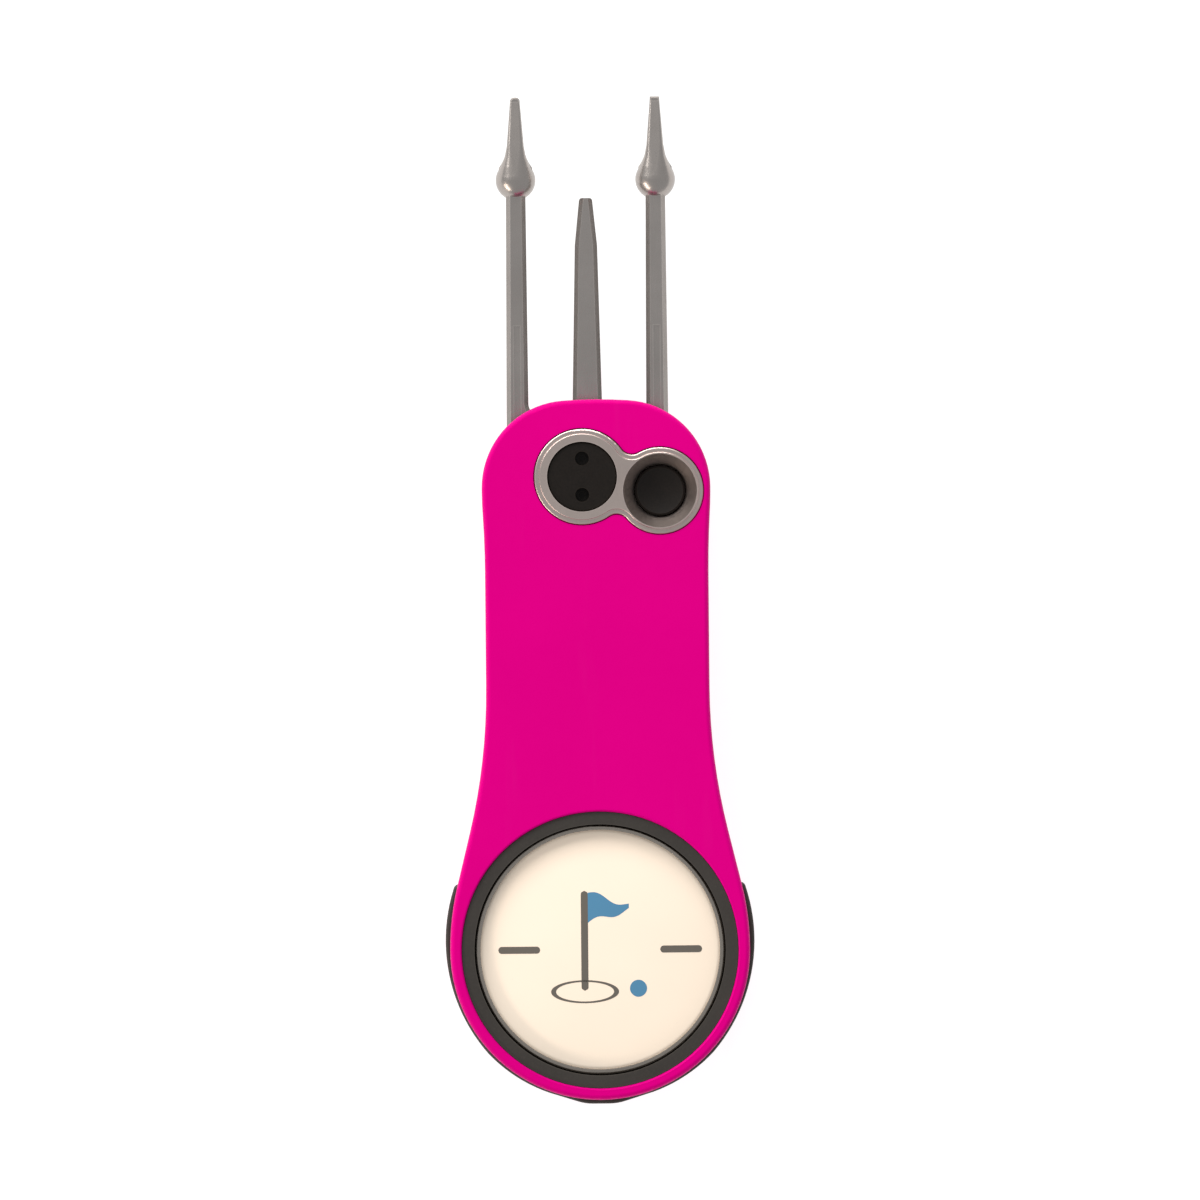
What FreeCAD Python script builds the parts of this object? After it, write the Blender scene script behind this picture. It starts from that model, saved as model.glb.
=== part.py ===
import FreeCAD, Part
import os
import Sketcher

# Folding divot repair tool. It lies on its back: +X is the tool's right, +Y points to
# the prong tips and +Z leaves the face. The origin is under the middle of the open tool.

DIMENSIONS = {
    # Side outline, from the middle of the top edge down to the widest point of the lobe.
    "top_edge": 20.08,
    "crest_radius": 48.8,
    "crest_turn": 3.84,
    "corner_radius": 8.76,
    "bulge_radius": 40,
    "hollow_radius": 100,
    "bulge_turn": 3.5,
    "waist_run": 11.38,
    "flare_radius": 60.8,
    "flare_turn": 13.72,
    "flare_run": 5.45,
    "blend_radius": 27.8,
    # Heights of the layers, from the back of the tool to its face.
    "back_core_z": 1.0,
    "back_flange_z": 3.2,
    "slot_floor": 3.6,
    "slot_roof": 8.0,
    "front_flange_z": 8.4,
    "front_core_z": 10.3,
    "ring_top": 11.1,
    "skin_top": 11.35,
    "plate_top": 11.6,
    # Pressed skins.
    "skin_wall": 1.0,
    "skin_round": 0.5,
    "opening_round": 0.2,
    "flange_inset": 0.3,
    "slip": 0.05,
    "thread_slip": 0.02,
    # Pivot stack.
    "pivot_x": -1.39,
    "pivot_y": 12.35,
    "pivot_disc_radius": 3.45,
    "pivot_disc_height": 1.1,
    "disc_edge_round": 0.15,
    "dimple_radius": 0.7,
    "dimple_reach": 1.82,
    "dimple_depth": 0.75,
    "pilot_radius": 0.32,
    "pilot_depth": 0.2,
    "pivot_thread_radius": 1.0,
    "pivot_thread_length": 5.2,
    "barrel_radius": 1.95,
    "shoulder_radius": 2.3,
    "barrel_flange_radius": 3.0,
    "barrel_flange_height": 0.5,
    "barrel_top": 9.7,
    "washer_radius": 3.4,
    # Fork, seen from its own pivot axis.
    "fork_floor": 4.7,
    "fork_height": 2.2,
    "fork_axis": 0.6,
    "hub_radius": 6.2,
    "prong_spread": 7.0,
    "yoke_top": 6.2,
    "yoke_root_x": 4.34,
    "yoke_right_low": 0.4,
    "yoke_left_low": 3.2,
    "prong_root_half": 1.1,
    "prong_neck_half": 0.97,
    "bead_y": 29.8,
    "bead_radius": 2.0,
    "blade_root_half": 1.68,
    "blade_root_y": 31.05,
    "blade_waist_half": 0.84,
    "blade_waist_y": 33.4,
    "blade_hollow_radius": 4.2,
    "blade_tip_half": 0.46,
    "blade_height": 0.9,
    "blade_bevel": 0.15,
    "left_tip_round": 0.4,
    "wedge_start": 0.38,
    "wedge_start_half": 1.93,
    "wedge_start_corner": 1.9,
    "wedge_start_rise": 1.96,
    "wedge_shoulder": 1.3,
    "wedge_shoulder_half": 1.5,
    "wedge_shoulder_corner": 1.25,
    "wedge_hollow": 2.36,
    "wedge_hollow_half": 1.06,
    "wedge_hollow_corner": 0.7,
    "wedge_waist": 3.6,
    "wedge_waist_half": 0.82,
    "wedge_waist_corner": 0.35,
    "wedge_end": 7.85,
    "wedge_end_half": 0.48,
    "wedge_end_corner": 0.15,
    "wedge_end_rise": 0.6,
    "fork_reach": 38.1,
    "middle_root_half": 1.5,
    "middle_kink_half": 1.12,
    "middle_kink_y": 23.2,
    "middle_tip_half": 0.64,
    "middle_tip_round": 0.3,
    "middle_reach": 27.95,
    "prong_bevel": 0.42,
    "yoke_round": 1.2,
    "flute_half": 0.35,
    "flute_bottom": 4.2,
    "flute_top": 15.2,
    "flute_depth": 0.18,
    # Lock: leaf spring, its sear tab and the notches that the tab drops into.
    "notch_turn": 10.6,
    "notch_root": 5.05,
    "notch_half": 0.85,
    "notch_overrun": 0.6,
    "leaf_floor": 2.6,
    "leaf_height": 0.4,
    "leaf_left": 4.6,
    "leaf_right": 7.6,
    "leaf_bottom": -5.0,
    "leaf_top": 12.4,
    "sear_left": 3.8,
    "sear_right": 4.8,
    "sear_bottom": 10.7,
    "sear_top": 11.9,
    "sear_height": 2.8,
    "sear_gusset": 0.6,
    "leaf_well_floor": 1.6,
    "leaf_room": 0.3,
    "sear_room_low": 0.8,
    "sear_room_high": 0.6,
    "leaf_land_y": -1.0,
    "leaf_screw_x": 6.1,
    "leaf_screw_y": -3.2,
    "leaf_screw_head": 1.25,
    "leaf_screw_head_height": 0.5,
    "leaf_screw_slot_half": 0.15,
    "leaf_screw_radius": 0.6,
    "leaf_screw_length": 1.2,
    # Flip spring round the barrel.
    "coil_radius": 2.75,
    "wire_radius": 0.22,
    "coil_pitch": 0.48,
    "coil_turns": 2.5,
    "coil_floor": 2.18,
    "spring_well_radius": 5.3,
    "spring_well_floor": 1.9,
    "anchor_reach": 6.0,
    "kicker_reach": 4.6,
    "kicker_top": 5.5,
    "kicker_hole_radius": 0.42,
    # Release button.
    "button_x": 6.4,
    "button_y": 10.9,
    "button_radius": 2.5,
    "button_top": 10.35,
    "button_edge": 0.2,
    "button_dish_depth": 0.3,
    "button_flange_radius": 3.0,
    "button_flange_floor": 8.2,
    "button_flange_top": 9.2,
    "button_stem_radius": 1.2,
    "button_stem_floor": 3.1,
    "button_dish_radius": 9.0,
    # Bezel plate round the pivot and the button.
    "plate_pivot_radius": 4.83,
    "plate_button_radius": 4.38,
    "plate_neck_round": 1.3,
    "plate_shoulder": 11.38,
    "plate_shoulder_width": 0.5,
    "plate_shoulder_round": 0.22,
    "plate_crown_round": 0.12,
    "cone_radius": 3.7,
    "cone_floor": 9.9,
    "collar_radius": 4.0,
    "collar_floor": 9.7,
    # Ball marker and its seat.
    "marker_radius": 12.5,
    "marker_rim": 0.5,
    "marker_floor": 9.05,
    "marker_step": 9.65,
    "marker_top": 10.0,
    "marker_edge_round": 0.2,
    "marker_rise": 0.03,
    "insert_top": 9.95,
    "seat_radius": 12.57,
    "seat_floor": 9.0,
    "ring_radius": 13.8,
    "skin_opening": 13.85,
    "magnet_radius": 5.0,
    # End block between the two cases, under the marker.
    "block_top": -28.4,
    "block_top_half": 14.5,
    "flank_radius": 17.2,
    "flank_end_x": 11.28,
    "flank_end_y": -45.36,
    "block_lobe_radius": 15.3,
    "tab_root_half": 5.2,
    "tab_root_y": -49.32,
    "tab_round": 5,
    "tab_end_half": 1.6,
    "tab_end_y": -50.45,
    "block_round": 0.3,
    "shoulder_round": 0.5,
    # Spine bar, stops and case screws.
    "spine_left": 8.0,
    "spine_right": 10.8,
    "spine_top": 7.4,
    "spine_round": 1.2,
    "stop_pin_x": 8.2,
    "stop_pin_y": 14.6,
    "stop_pin_radius": 0.6,
    "stop_pin_depth": 1.2,
    "pad_left": 7.3,
    "pad_bottom": -19.4,
    "pad_length": 4.0,
    "screw_radius": 0.65,
    "screw_head_radius": 1.1,
    "screw_head_height": 0.9,
    "screw_top": 8.9,
    "spine_screw_x": 9.0,
    "spine_screw_high": 4.6,
    "spine_screw_low": -18.0,
    "block_screw_x": 9.0,
    "block_screw_y": -41.0,
}

# The side outline from the crest down: bend, size, heading before and heading after.
# Bend 1 is a convex arc, -1 is a hollow one and 0 is a straight run.
SIDE = (
    (1, "corner_radius", "Dims.crest_turn", "90"),
    (1, "bulge_radius", "90", "90 + Dims.bulge_turn"),
    (-1, "hollow_radius", "90 + Dims.bulge_turn", "90"),
    (0, "waist_run", "90", "90"),
    (-1, "flare_radius", "90", "90 - Dims.flare_turn"),
    (0, "flare_run", "90 - Dims.flare_turn", "90 - Dims.flare_turn"),
    (1, "blend_radius", "90 - Dims.flare_turn", "90"),
)

CASE_SCREWS = (
    ("Dims.spine_screw_x", "Dims.spine_screw_high"),
    ("Dims.spine_screw_x", "Dims.spine_screw_low"),
    ("Dims.block_screw_x", "Dims.block_screw_y"),
    ("-Dims.block_screw_x", "Dims.block_screw_y"),
)

PRONG_SIDES = (("right", "+"), ("left", "-"))

# Distance within which two edges are at the same place.
TOUCH = 0.01
# How close to a prong's end an edge stands to belong to its tip.
NEAR_TIP = 1.0
# Edges longer or taller than these count as long or tall ones.
LONG_EDGE = 3
TALL_EDGE = 1
# Volume in cubic millimetres a cut has to take away.
LEAST_CUT = 1e-6
FULL_TURN = 360

doc = FreeCAD.newDocument("divot_tool")
sheet = doc.addObject("Spreadsheet::Sheet", "Dims")


def fill_sheet():
    for row, (alias, number) in enumerate(DIMENSIONS.items(), start=1):
        sheet.set(f"A{row}", str(number))
        sheet.setAlias(f"A{row}", alias)
    doc.recompute()


def size(expression):
    """Value of an expression over the sheet, in millimetres."""
    number = sheet.evalExpression(expression)
    return float(getattr(number, "Value", number))


# ---------------------------------------------------------------- drawing helpers

def new_body(name):
    body = doc.addObject("PartDesign::Body", name)
    body.Label = name
    return body


def place(item, x="0", y="0", z="0"):
    item.setExpression("Placement.Base.x", x)
    item.setExpression("Placement.Base.y", y)
    item.setExpression("Placement.Base.z", z)


def sketch_on(body, name, height="0", plane="XY_Plane", across="0"):
    """Sketch parallel to an origin plane, moved along its normal and its own x axis."""
    sketch = body.newObject("Sketcher::SketchObject", name)
    support = next(item for item in body.Origin.OriginFeatures if item.Role == plane)
    sketch.AttachmentSupport = [(support, "")]
    sketch.MapMode = "FlatFace"
    sketch.setExpression("AttachmentOffset.Base.z", height)
    sketch.setExpression("AttachmentOffset.Base.x", across)
    return sketch


def bind(sketch, constraint, expression):
    index = sketch.addConstraint(constraint)
    sketch.setExpression(f"Constraints[{index}]", expression)


def pin_point(sketch, curve, end, x, y):
    bind(sketch, Sketcher.Constraint("DistanceX", -1, 1, curve, end, size(x)), x)
    bind(sketch, Sketcher.Constraint("DistanceY", -1, 1, curve, end, size(y)), y)


def circle(sketch, x, y, radius):
    centre = FreeCAD.Vector(size(x), size(y), 0)
    curve = sketch.addGeometry(Part.Circle(centre, FreeCAD.Vector(0, 0, 1), size(radius)))
    pin_point(sketch, curve, 3, x, y)
    bind(sketch, Sketcher.Constraint("Radius", curve, size(radius)), radius)


def arc_middle(start, stop, radius, bend):
    chord = stop - start
    half = chord.Length / 2
    rise = radius - max(radius ** 2 - half ** 2, 0) ** 0.5
    right = FreeCAD.Vector(chord.y, -chord.x, 0).normalize()
    return (start + stop) * 0.5 + right * (rise * bend)


def edge_curve(start, stop, radius, bend):
    """Line or arc, and which of its ends are met first and last on the way round."""
    if not bend:
        return Part.LineSegment(start, stop), 1, 2
    middle = arc_middle(start, stop, size(radius), bend)
    if bend > 0:
        return Part.Arc(start, middle, stop), 1, 2
    return Part.Arc(stop, middle, start), 2, 1


def trace(sketch, corners):
    """Closed loop, anticlockwise. A corner is x, y and the way to it: radius and bend."""
    points = [FreeCAD.Vector(size(corner[0]), size(corner[1]), 0) for corner in corners]
    first = None
    last = None
    for index, (x, y, radius, bend) in enumerate(corners):
        shape, begin, end = edge_curve(points[index - 1], points[index], radius, bend)
        curve = sketch.addGeometry(shape)
        pin_point(sketch, curve, end, x, y)
        if bend:
            bind(sketch, Sketcher.Constraint("Radius", curve, size(radius)), radius)
        if last:
            sketch.addConstraint(Sketcher.Constraint("Coincident", *last, curve, begin))
        first = first or (curve, begin)
        last = (curve, end)
    sketch.addConstraint(Sketcher.Constraint("Coincident", *last, *first))


def mirrored_loop(right):
    """Corners up the right side, then their mirror images down the left side."""
    left = []
    way = (None, 0)
    for x, y, radius, bend in reversed(right):
        left.append((f"-({x})", y) + way)
        way = (radius, bend)
    return right + left


def polygon(sketch, corners):
    trace(sketch, [(x, y, None, 0) for x, y in corners])


def rectangle(sketch, left, bottom, right, top):
    polygon(sketch, [(left, bottom), (right, bottom), (right, top), (left, top)])


# ---------------------------------------------------------------- feature helpers

def pad(body, sketch, length, up=True):
    feature = body.newObject("PartDesign::Pad", sketch.Name + "_pad")
    feature.Profile = sketch
    feature.setExpression("Length", length)
    feature.Reversed = not up
    doc.recompute()
    return feature


def must_shrink(body, volume, feature):
    doc.recompute()
    if not body.Shape.Volume < volume - LEAST_CUT:
        raise RuntimeError(feature.Name + " cuts nothing")
    return feature


def pocket(body, sketch, depth, up=False):
    volume = body.Shape.Volume
    feature = body.newObject("PartDesign::Pocket", sketch.Name + "_cut")
    feature.Profile = sketch
    feature.setExpression("Length", depth)
    feature.Reversed = up
    return must_shrink(body, volume, feature)


def revolve(body, sketch):
    feature = body.newObject("PartDesign::Revolution", sketch.Name + "_turn")
    feature.Profile = sketch
    feature.ReferenceAxis = (sketch, ["V_Axis"])
    feature.Angle = FULL_TURN
    doc.recompute()
    return feature


def groove(body, sketch):
    volume = body.Shape.Volume
    feature = body.newObject("PartDesign::Groove", sketch.Name + "_groove")
    feature.Profile = sketch
    feature.ReferenceAxis = (sketch, ["V_Axis"])
    feature.Angle = FULL_TURN
    return must_shrink(body, volume, feature)


def edge_names(shape, wanted):
    return [f"Edge{number}" for number, edge in enumerate(shape.Edges, 1) if wanted(edge)]


def dress(body, kind, name, wanted, amount):
    """Fillet or chamfer on the edges of the finished body that a test picks out."""
    base = body.Tip
    names = edge_names(base.Shape, wanted)
    if not names:
        raise RuntimeError(name + " found no edges")
    feature = body.newObject("PartDesign::" + kind, name)
    feature.Base = (base, names)
    feature.setExpression("Radius" if kind == "Fillet" else "Size", amount)
    doc.recompute()
    return feature


def lies_at(edge, height):
    box = edge.BoundBox
    return abs(box.ZMin - height) < TOUCH and abs(box.ZMax - height) < TOUCH


def stands_at(edge, x, y, near):
    """True for an upright edge within a distance of a point in plan."""
    box = edge.BoundBox
    upright = box.XLength < TOUCH and box.YLength < TOUCH
    return upright and (box.Center - FreeCAD.Vector(x, y, box.Center.z)).Length < near


def disc(name, x, y, floor, height, radius, bore=None):
    """Plain turned disc or ring that stands along Z."""
    body = new_body(name)
    sketch = sketch_on(body, name + "_ring")
    circle(sketch, "0", "0", radius)
    if bore:
        circle(sketch, "0", "0", bore)
    pad(body, sketch, height)
    place(body, x, y, floor)
    return body


# ---------------------------------------------------------------- side outline

def side_stations(grow):
    """Points down the right side of the outline moved outwards by grow."""
    crest = f"(Dims.crest_radius + {grow})"
    x = f"{crest} * sin(Dims.crest_turn * 1deg)"
    y = f"Dims.top_edge + {grow} - {crest} * (1 - cos(Dims.crest_turn * 1deg))"
    stations = [(x, y, None, 0)]
    for bend, alias, before, after in SIDE:
        if bend:
            reach = f"(Dims.{alias} + {bend} * {grow})"
            x += f" + {bend} * {reach} * (sin(({after}) * 1deg) - sin(({before}) * 1deg))"
            y += f" + {bend} * {reach} * (cos(({after}) * 1deg) - cos(({before}) * 1deg))"
        else:
            reach = f"Dims.{alias}"
            x += f" + {reach} * cos(({before}) * 1deg)"
            y += f" - {reach} * sin(({before}) * 1deg)"
        stations.append((x, y, reach, bend))
    return stations


LOBE_Y = side_stations("0")[-1][1]
# The marker rests against the upper side of its seat.
MARKER_Y = f"{LOBE_Y} + Dims.marker_rise"


def outline(grow="0"):
    """The whole outline, anticlockwise from the bottom of the lobe."""
    stations = side_stations(grow)
    lobe = stations[-1][0]
    bottom = ("0", f"{stations[-1][1]} - ({lobe})", lobe, 1)
    corners = []
    way = (lobe, 1)
    for x, y, reach, bend in reversed(stations):
        corners.append((x, y) + way)
        way = (reach, bend)
    way = (f"Dims.crest_radius + {grow}", 1)
    for x, y, reach, bend in stations:
        corners.append((f"-({x})", y) + (way if reach is None else (reach, bend)))
    corners.append(bottom)
    return corners


def outline_slab(body, name, grow, floor, height):
    sketch = sketch_on(body, name, floor)
    trace(sketch, outline(grow))
    return pad(body, sketch, height)


# ---------------------------------------------------------------- skins

def neck_edges(edge, floor):
    """Upright edges, from a floor up, in the two valleys between the plate's circles."""
    middle_x = (size("Dims.pivot_x") + size("Dims.button_x")) / 2
    middle_y = (size("Dims.pivot_y") + size("Dims.button_y")) / 2
    near = size("Dims.plate_button_radius")
    return stands_at(edge, middle_x, middle_y, near) and edge.BoundBox.ZMin > floor - TOUCH


def round_outer_edges(body, name, height):
    dress(body, "Fillet", name, lambda edge: lies_at(edge, height), "Dims.skin_round")


def front_skin():
    body = new_body("front_skin")
    outline_slab(body, "skin_sheet", "0", "Dims.front_flange_z", "Dims.skin_top - Dims.front_flange_z")
    round_outer_edges(body, "skin_edge", size("Dims.skin_top"))
    hollow = sketch_on(body, "skin_hollow", "Dims.front_core_z")
    trace(hollow, outline("-Dims.skin_wall"))
    pocket(body, hollow, "Dims.front_core_z - Dims.front_flange_z")
    opening = sketch_on(body, "skin_marker_opening", "Dims.skin_top")
    circle(opening, "0", LOBE_Y, "Dims.skin_opening")
    pocket(body, opening, "Dims.skin_top - Dims.front_core_z")
    for spot in ("pivot", "button"):
        window = sketch_on(body, f"skin_{spot}_window", "Dims.skin_top")
        circle(window, f"Dims.{spot}_x", f"Dims.{spot}_y", f"Dims.plate_{spot}_radius + Dims.slip")
        pocket(body, window, "Dims.skin_top - Dims.front_core_z")
    floor = size("Dims.front_core_z")
    dress(body, "Fillet", "skin_window_necks", lambda edge: neck_edges(edge, floor),
          "Dims.plate_neck_round - Dims.slip")
    dress(body, "Fillet", "skin_opening_edge", opening_edge, "Dims.opening_round")
    return body


def opening_edge(edge):
    """Top edge of the marker's opening in the front skin."""
    if not lies_at(edge, size("Dims.skin_top")):
        return False
    return abs(getattr(edge.Curve, "Radius", 0) - size("Dims.skin_opening")) < TOUCH


def back_skin():
    body = new_body("back_skin")
    outline_slab(body, "back_sheet", "0", "0", "Dims.back_flange_z")
    round_outer_edges(body, "back_sheet_edge", 0)
    hollow = sketch_on(body, "back_sheet_hollow", "Dims.back_flange_z")
    trace(hollow, outline("-Dims.skin_wall"))
    pocket(body, hollow, "Dims.back_flange_z - Dims.back_core_z")
    return body


# ---------------------------------------------------------------- cases

def screw_holes(body, name, height, depth, radius, up=False):
    holes = sketch_on(body, name, height)
    for x, y in CASE_SCREWS:
        circle(holes, x, y, radius)
    pocket(body, holes, depth, up)


def pin_hole(body, name, height, up):
    hole = sketch_on(body, name, height)
    circle(hole, "Dims.stop_pin_x", "Dims.stop_pin_y", "Dims.stop_pin_radius")
    pocket(body, hole, "Dims.stop_pin_depth", up)


def front_case():
    body = new_body("front_case")
    outline_slab(body, "front_flange", "-Dims.flange_inset", "Dims.slot_roof",
                 "Dims.front_flange_z - Dims.slot_roof")
    outline_slab(body, "front_core", "-(Dims.skin_wall + Dims.slip)", "Dims.front_flange_z",
                 "Dims.front_core_z - Dims.front_flange_z")
    ring = sketch_on(body, "marker_ring", "Dims.front_core_z")
    circle(ring, "0", LOBE_Y, "Dims.ring_radius")
    pad(body, ring, "Dims.ring_top - Dims.front_core_z")
    seat = sketch_on(body, "marker_seat", "Dims.ring_top")
    circle(seat, "0", LOBE_Y, "Dims.seat_radius")
    pocket(body, seat, "Dims.ring_top - Dims.seat_floor")
    magnet_well = sketch_on(body, "magnet_well", "Dims.seat_floor")
    circle(magnet_well, "0", LOBE_Y, "Dims.magnet_radius + Dims.slip")
    pocket(body, magnet_well, "Dims.seat_floor - Dims.slot_roof")
    barrel_bore = sketch_on(body, "front_barrel_bore", "Dims.front_core_z")
    circle(barrel_bore, "Dims.pivot_x", "Dims.pivot_y", "Dims.barrel_radius + Dims.slip")
    pocket(body, barrel_bore, "Dims.front_core_z - Dims.slot_roof")
    button_bore = sketch_on(body, "button_bore", "Dims.front_core_z")
    circle(button_bore, "Dims.button_x", "Dims.button_y", "Dims.button_radius + Dims.slip")
    pocket(body, button_bore, "Dims.front_core_z - Dims.slot_roof")
    collar_well = sketch_on(body, "plate_collar_well", "Dims.front_core_z")
    circle(collar_well, "Dims.button_x", "Dims.button_y", "Dims.collar_radius + Dims.slip")
    pocket(body, collar_well, "Dims.front_core_z - Dims.collar_floor")
    flange_well = sketch_on(body, "button_flange_well", "Dims.slot_roof")
    circle(flange_well, "Dims.button_x", "Dims.button_y", "Dims.button_flange_radius + Dims.slip")
    pocket(body, flange_well, "Dims.button_flange_top + Dims.slip - Dims.slot_roof", up=True)
    screw_holes(body, "front_screw_holes", "Dims.slot_roof", "Dims.screw_top - Dims.slot_roof",
                "Dims.screw_radius + Dims.thread_slip", up=True)
    pin_hole(body, "front_pin_hole", "Dims.slot_roof", True)
    return body


def back_case():
    body = new_body("back_case")
    outline_slab(body, "back_core", "-(Dims.skin_wall + Dims.slip)", "Dims.back_core_z",
                 "Dims.back_flange_z - Dims.back_core_z")
    outline_slab(body, "back_flange", "-Dims.flange_inset", "Dims.back_flange_z",
                 "Dims.slot_floor - Dims.back_flange_z")
    spring_wells(body)
    leaf_wells(body)
    screw_holes(body, "back_screw_holes", "Dims.slot_floor", "Dims.slot_floor - Dims.back_core_z",
                "Dims.screw_radius + Dims.thread_slip")
    screw_holes(body, "back_screw_seats", "Dims.back_core_z", "Dims.screw_head_height",
                "Dims.screw_head_radius + Dims.slip", up=True)
    pin_hole(body, "back_pin_hole", "Dims.slot_floor", False)
    return body


def spring_wells(body):
    """Well of the flip spring, slot of its anchor leg, and the barrel's seat behind it."""
    well = sketch_on(body, "spring_well", "Dims.slot_floor")
    circle(well, "Dims.pivot_x", "Dims.pivot_y", "Dims.spring_well_radius")
    pocket(body, well, "Dims.slot_floor - Dims.spring_well_floor")
    slot = sketch_on(body, "anchor_slot", "Dims.slot_floor")
    half = "(Dims.wire_radius + Dims.slip)"
    rectangle(slot, f"Dims.pivot_x - {half}", "Dims.pivot_y + Dims.coil_radius",
              f"Dims.pivot_x + {half}", "Dims.pivot_y + Dims.anchor_reach + Dims.slip")
    pocket(body, slot, "Dims.slot_floor - Dims.spring_well_floor")
    bore = sketch_on(body, "back_barrel_bore", "Dims.spring_well_floor")
    circle(bore, "Dims.pivot_x", "Dims.pivot_y", "Dims.shoulder_radius + Dims.slip")
    pocket(body, bore, "Dims.spring_well_floor - Dims.back_core_z")
    seat = sketch_on(body, "barrel_seat", "Dims.back_core_z")
    circle(seat, "Dims.pivot_x", "Dims.pivot_y", "Dims.barrel_flange_radius + Dims.slip")
    pocket(body, seat, "Dims.barrel_flange_height", up=True)


def leaf_wells(body):
    """Land that the leaf is screwed to, and the well that it bends down into."""
    land = sketch_on(body, "leaf_land", "Dims.slot_floor")
    rectangle(land, "Dims.leaf_left - Dims.slip", "Dims.leaf_bottom - Dims.slip",
              "Dims.leaf_right + Dims.slip", "Dims.leaf_land_y")
    pocket(body, land, "Dims.slot_floor - Dims.leaf_floor")
    well = sketch_on(body, "leaf_well", "Dims.slot_floor")
    rectangle(well, "Dims.leaf_left - Dims.leaf_room", "Dims.leaf_land_y",
              "Dims.leaf_right + Dims.leaf_room", "Dims.leaf_top + Dims.leaf_room")
    pocket(body, well, "Dims.slot_floor - Dims.leaf_well_floor")
    sear_well = sketch_on(body, "sear_well", "Dims.slot_floor")
    rectangle(sear_well, "Dims.sear_left - Dims.leaf_room", "Dims.sear_bottom - Dims.sear_room_low",
              "Dims.leaf_right", "Dims.sear_top + Dims.sear_room_high")
    pocket(body, sear_well, "Dims.slot_floor - Dims.leaf_well_floor")
    hole = sketch_on(body, "leaf_screw_hole", "Dims.leaf_floor")
    circle(hole, "Dims.leaf_screw_x", "Dims.leaf_screw_y", "Dims.leaf_screw_radius + Dims.thread_slip")
    pocket(body, hole, "Dims.leaf_screw_length")


# ---------------------------------------------------------------- slot layer

def block_corners():
    """Outline of the end block, from the right end of its bottom tab."""
    return mirrored_loop([
        ("Dims.tab_end_half", "Dims.tab_end_y", None, 0),
        ("Dims.tab_root_half", "Dims.tab_root_y", None, 0),
        ("Dims.flank_end_x", "Dims.flank_end_y", "Dims.block_lobe_radius", 1),
        ("Dims.block_top_half", "Dims.block_top", "Dims.flank_radius", 1),
    ])


def end_block():
    body = new_body("end_block")
    sketch = sketch_on(body, "block_outline", "Dims.slot_floor")
    trace(sketch, block_corners())
    pad(body, sketch, "Dims.slot_roof - Dims.slot_floor")
    top = size("Dims.block_top")
    tip = size("Dims.tab_end_y")
    shoulder = size("Dims.block_top_half")
    tab = size("Dims.tab_end_half")
    dress(body, "Fillet", "block_shoulders", lambda edge: corner_pair(edge, shoulder, top),
          "Dims.shoulder_round")
    dress(body, "Fillet", "tab_corners", lambda edge: corner_pair(edge, tab, tip), "Dims.tab_round")
    faces = (size("Dims.slot_floor"), size("Dims.slot_roof"))
    dress(body, "Fillet", "block_edges", lambda edge: outer_block_edge(edge, faces), "Dims.block_round")
    holes = sketch_on(body, "block_screw_holes", "Dims.slot_roof")
    for x, y in CASE_SCREWS[2:]:
        circle(holes, x, y, "Dims.screw_radius + Dims.thread_slip")
    pocket(body, holes, "Dims.slot_roof - Dims.slot_floor")
    return body


def corner_pair(edge, half, y):
    """Upright edges at two points that mirror each other."""
    return stands_at(edge, half, y, TOUCH) or stands_at(edge, -half, y, TOUCH)


def outer_block_edge(edge, faces):
    straight_top = edge.BoundBox.YMin > size("Dims.block_top") - TOUCH
    return not straight_top and any(lies_at(edge, height) for height in faces)


def spine_bar():
    body = new_body("spine_bar")
    sketch = sketch_on(body, "spine_section", "Dims.slot_floor")
    rectangle(sketch, "Dims.spine_left", "Dims.block_top", "Dims.spine_right", "Dims.spine_top")
    for x, y in CASE_SCREWS[:2]:
        circle(sketch, x, y, "Dims.screw_radius + Dims.thread_slip")
    pad(body, sketch, "Dims.slot_roof - Dims.slot_floor")
    corner_x = size("Dims.spine_right")
    corner_y = size("Dims.spine_top")
    dress(body, "Fillet", "spine_corner", lambda edge: stands_at(edge, corner_x, corner_y, TOUCH),
          "Dims.spine_round")
    return body


def open_stop_pin():
    depth = "Dims.stop_pin_depth"
    return disc("open_stop_pin", "Dims.stop_pin_x", "Dims.stop_pin_y", f"Dims.slot_floor - {depth}",
                f"Dims.slot_roof - Dims.slot_floor + 2 * {depth}", "Dims.stop_pin_radius")


def closed_stop_pad():
    body = new_body("closed_stop_pad")
    sketch = sketch_on(body, "pad_section", "Dims.fork_floor")
    rectangle(sketch, "Dims.pad_left", "Dims.pad_bottom", "Dims.spine_left",
              "Dims.pad_bottom + Dims.pad_length")
    pad(body, sketch, "Dims.fork_height")
    return body


def case_screw(index, x, y):
    """Cylinder-head screw with a hexagon socket, driven in from the back."""
    head = doc.addObject("Part::Cylinder", f"screw_head_{index}")
    head.setExpression("Radius", "Dims.screw_head_radius")
    head.setExpression("Height", "Dims.screw_head_height")
    shank = doc.addObject("Part::Cylinder", f"screw_shank_{index}")
    shank.setExpression("Radius", "Dims.screw_radius")
    shank.setExpression("Height", "Dims.screw_top - Dims.back_core_z")
    socket = doc.addObject("Part::Prism", f"screw_socket_{index}")
    socket.Polygon = 6
    socket.setExpression("Circumradius", "Dims.screw_radius")
    socket.setExpression("Height", "Dims.screw_head_height / 2")
    for item in (head, shank, socket):
        place(item, x, y, "Dims.back_core_z")
    solid = doc.addObject("Part::Fuse", f"screw_solid_{index}")
    solid.Base = head
    solid.Tool = shank
    screw = doc.addObject("Part::Cut", f"case_screw_{index}")
    screw.Base = solid
    screw.Tool = socket
    return screw


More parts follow.
